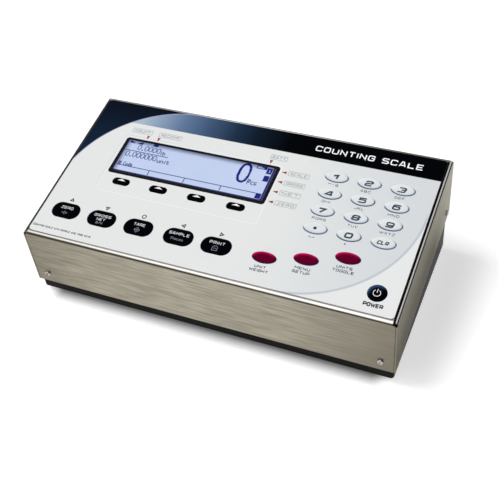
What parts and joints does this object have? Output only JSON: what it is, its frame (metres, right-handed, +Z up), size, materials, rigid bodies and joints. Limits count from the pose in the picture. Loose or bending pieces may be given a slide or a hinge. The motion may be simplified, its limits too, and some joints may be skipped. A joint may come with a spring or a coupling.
{
  "type": "counting scale console",
  "caption": "Desktop counting-scale indicator: stainless wedge cover on a black pan, membrane keypad with numeric, function and soft keys, and a wide lit dot display.",
  "frame": {"origin": "under the middle of the whole object, on the surface that the rubber feet stand on", "axes": "+X to the operator's right along the long side, +Y to the rear, +Z up"},
  "size_m": [0.3044, 0.171, 0.0924],
  "materials": {
    "stainless_sheet": "brushed along the width, satin",
    "black_paint": "black powder coat",
    "overlay_film": "fine velvet-textured film, printed",
    "clear_window": "clear hard-coated film",
    "number_key": "embossed satin film",
    "function_key": "embossed satin film",
    "soft_key": "embossed satin film",
    "red_key": "embossed satin film",
    "power_key": "embossed satin film",
    "polyester_film": "clear polyester with silver ink",
    "dome_steel": "pressed spring steel",
    "display_frame": "black coated steel",
    "display_glass": "lit display glass",
    "backlight": "white light guide",
    "circuit_board": "green solder mask",
    "ribbon_cable": "ribbed vinyl",
    "chip_plastic": "moulded",
    "plated_brass": "nickel-plated where it shows",
    "screw_steel": "zinc-plated",
    "cover_screw_steel": "stainless, polished",
    "transformer_core": "varnished laminations and tape",
    "battery_case": "moulded case",
    "strap_steel": "zinc-plated strip",
    "foot_rubber": "matt",
    "connector_plastic": "moulded, fine texture",
    "connector_shell": "tin-plated shell",
    "gland_plastic": "moulded nylon",
    "seal_rubber": "matt"
  },
  "bodies": {
    "console": {"base_pan": "black_paint", "battery_pack": "battery_case", "battery_strap": "strap_steel", "board_parts": "chip_plastic", "board_posts": "plated_brass", "board_screws": "screw_steel", "cover_screws": "cover_screw_steel", "display_posts": "plated_brass", "display_ribbon": "ribbon_cable", "display_window": "clear_window", "foot_fixings": "screw_steel", "gland_body": "gland_plastic", "gland_cap": "gland_plastic", "gland_locknut": "gland_plastic", "gland_seal": "seal_rubber", "graphic_overlay": "overlay_film", "inlet_blades": "plated_brass", "jack_posts": "plated_brass", "keypad_circuit": "polyester_film", "keypad_spacer": "polyester_film", "keypad_tail": "polyester_film", "lcd_backlight": "backlight", "lcd_board": "circuit_board", "lcd_frame": "display_frame", "lcd_glass": "display_glass", "main_board": "circuit_board", "mains_inlet": "connector_plastic", "power_board": "circuit_board", "rivet_nuts": "screw_steel", "rubber_feet": "foot_rubber", "serial_port_left": "connector_shell", "serial_port_right": "connector_shell", "snap_domes": "dome_steel", "top_cover": "stainless_sheet", "transformer": "transformer_core"},
    "key_0_body": {"key_0": "number_key"},
    "key_1_body": {"key_1": "number_key"},
    "key_2_body": {"key_2": "number_key"},
    "key_3_body": {"key_3": "number_key"},
    "key_4_body": {"key_4": "number_key"},
    "key_5_body": {"key_5": "number_key"},
    "key_6_body": {"key_6": "number_key"},
    "key_7_body": {"key_7": "number_key"},
    "key_8_body": {"key_8": "number_key"},
    "key_9_body": {"key_9": "number_key"},
    "key_point_body": {"key_point": "number_key"},
    "key_clear_body": {"key_clear": "number_key"},
    "key_zero_body": {"key_zero": "function_key"},
    "key_gross_net_body": {"key_gross_net": "function_key"},
    "key_tare_body": {"key_tare": "function_key"},
    "key_sample_body": {"key_sample": "function_key"},
    "key_print_body": {"key_print": "function_key"},
    "soft_key_1_body": {"soft_key_1": "soft_key"},
    "soft_key_2_body": {"soft_key_2": "soft_key"},
    "soft_key_3_body": {"soft_key_3": "soft_key"},
    "soft_key_4_body": {"soft_key_4": "soft_key"},
    "key_unit_weight_body": {"key_unit_weight": "red_key"},
    "key_menu_setup_body": {"key_menu_setup": "red_key"},
    "key_units_toggle_body": {"key_units_toggle": "red_key"},
    "key_power_body": {"key_power": "power_key"}
  },
  "joints": [
    {"name": "key_0_press", "type": "slide", "parent": "console", "child": "key_0_body", "axis": [0, 0.1702, -0.9854], "range_m": [0, 0.0004], "stiffness_N_per_m": 3000},
    {"name": "key_1_press", "type": "slide", "parent": "console", "child": "key_1_body", "axis": [0, 0.1702, -0.9854], "range_m": [0, 0.0004], "stiffness_N_per_m": 3000},
    {"name": "key_2_press", "type": "slide", "parent": "console", "child": "key_2_body", "axis": [0, 0.1702, -0.9854], "range_m": [0, 0.0004], "stiffness_N_per_m": 3000},
    {"name": "key_3_press", "type": "slide", "parent": "console", "child": "key_3_body", "axis": [0, 0.1702, -0.9854], "range_m": [0, 0.0004], "stiffness_N_per_m": 3000},
    {"name": "key_4_press", "type": "slide", "parent": "console", "child": "key_4_body", "axis": [0, 0.1702, -0.9854], "range_m": [0, 0.0004], "stiffness_N_per_m": 3000},
    {"name": "key_5_press", "type": "slide", "parent": "console", "child": "key_5_body", "axis": [0, 0.1702, -0.9854], "range_m": [0, 0.0004], "stiffness_N_per_m": 3000},
    {"name": "key_6_press", "type": "slide", "parent": "console", "child": "key_6_body", "axis": [0, 0.1702, -0.9854], "range_m": [0, 0.0004], "stiffness_N_per_m": 3000},
    {"name": "key_7_press", "type": "slide", "parent": "console", "child": "key_7_body", "axis": [0, 0.1702, -0.9854], "range_m": [0, 0.0004], "stiffness_N_per_m": 3000},
    {"name": "key_8_press", "type": "slide", "parent": "console", "child": "key_8_body", "axis": [0, 0.1702, -0.9854], "range_m": [0, 0.0004], "stiffness_N_per_m": 3000},
    {"name": "key_9_press", "type": "slide", "parent": "console", "child": "key_9_body", "axis": [0, 0.1702, -0.9854], "range_m": [0, 0.0004], "stiffness_N_per_m": 3000},
    {"name": "key_point_press", "type": "slide", "parent": "console", "child": "key_point_body", "axis": [0, 0.1702, -0.9854], "range_m": [0, 0.0004], "stiffness_N_per_m": 3000},
    {"name": "key_clear_press", "type": "slide", "parent": "console", "child": "key_clear_body", "axis": [0, 0.1702, -0.9854], "range_m": [0, 0.0004], "stiffness_N_per_m": 3000},
    {"name": "key_zero_press", "type": "slide", "parent": "console", "child": "key_zero_body", "axis": [0, 0.1702, -0.9854], "range_m": [0, 0.0004], "stiffness_N_per_m": 3000},
    {"name": "key_gross_net_press", "type": "slide", "parent": "console", "child": "key_gross_net_body", "axis": [0, 0.1702, -0.9854], "range_m": [0, 0.0004], "stiffness_N_per_m": 3000},
    {"name": "key_tare_press", "type": "slide", "parent": "console", "child": "key_tare_body", "axis": [0, 0.1702, -0.9854], "range_m": [0, 0.0004], "stiffness_N_per_m": 3000},
    {"name": "key_sample_press", "type": "slide", "parent": "console", "child": "key_sample_body", "axis": [0, 0.1702, -0.9854], "range_m": [0, 0.0004], "stiffness_N_per_m": 3000},
    {"name": "key_print_press", "type": "slide", "parent": "console", "child": "key_print_body", "axis": [0, 0.1702, -0.9854], "range_m": [0, 0.0004], "stiffness_N_per_m": 3000},
    {"name": "soft_key_1_press", "type": "slide", "parent": "console", "child": "soft_key_1_body", "axis": [0, 0.1702, -0.9854], "range_m": [0, 0.0004], "stiffness_N_per_m": 3000},
    {"name": "soft_key_2_press", "type": "slide", "parent": "console", "child": "soft_key_2_body", "axis": [0, 0.1702, -0.9854], "range_m": [0, 0.0004], "stiffness_N_per_m": 3000},
    {"name": "soft_key_3_press", "type": "slide", "parent": "console", "child": "soft_key_3_body", "axis": [0, 0.1702, -0.9854], "range_m": [0, 0.0004], "stiffness_N_per_m": 3000},
    {"name": "soft_key_4_press", "type": "slide", "parent": "console", "child": "soft_key_4_body", "axis": [0, 0.1702, -0.9854], "range_m": [0, 0.0004], "stiffness_N_per_m": 3000},
    {"name": "key_unit_weight_press", "type": "slide", "parent": "console", "child": "key_unit_weight_body", "axis": [0, 0.1702, -0.9854], "range_m": [0, 0.0004], "stiffness_N_per_m": 3000},
    {"name": "key_menu_setup_press", "type": "slide", "parent": "console", "child": "key_menu_setup_body", "axis": [0, 0.1702, -0.9854], "range_m": [0, 0.0004], "stiffness_N_per_m": 3000},
    {"name": "key_units_toggle_press", "type": "slide", "parent": "console", "child": "key_units_toggle_body", "axis": [0, 0.1702, -0.9854], "range_m": [0, 0.0004], "stiffness_N_per_m": 3000},
    {"name": "key_power_press", "type": "slide", "parent": "console", "child": "key_power_body", "axis": [0, 0.1702, -0.9854], "range_m": [0, 0.0004], "stiffness_N_per_m": 3000}
  ]
}
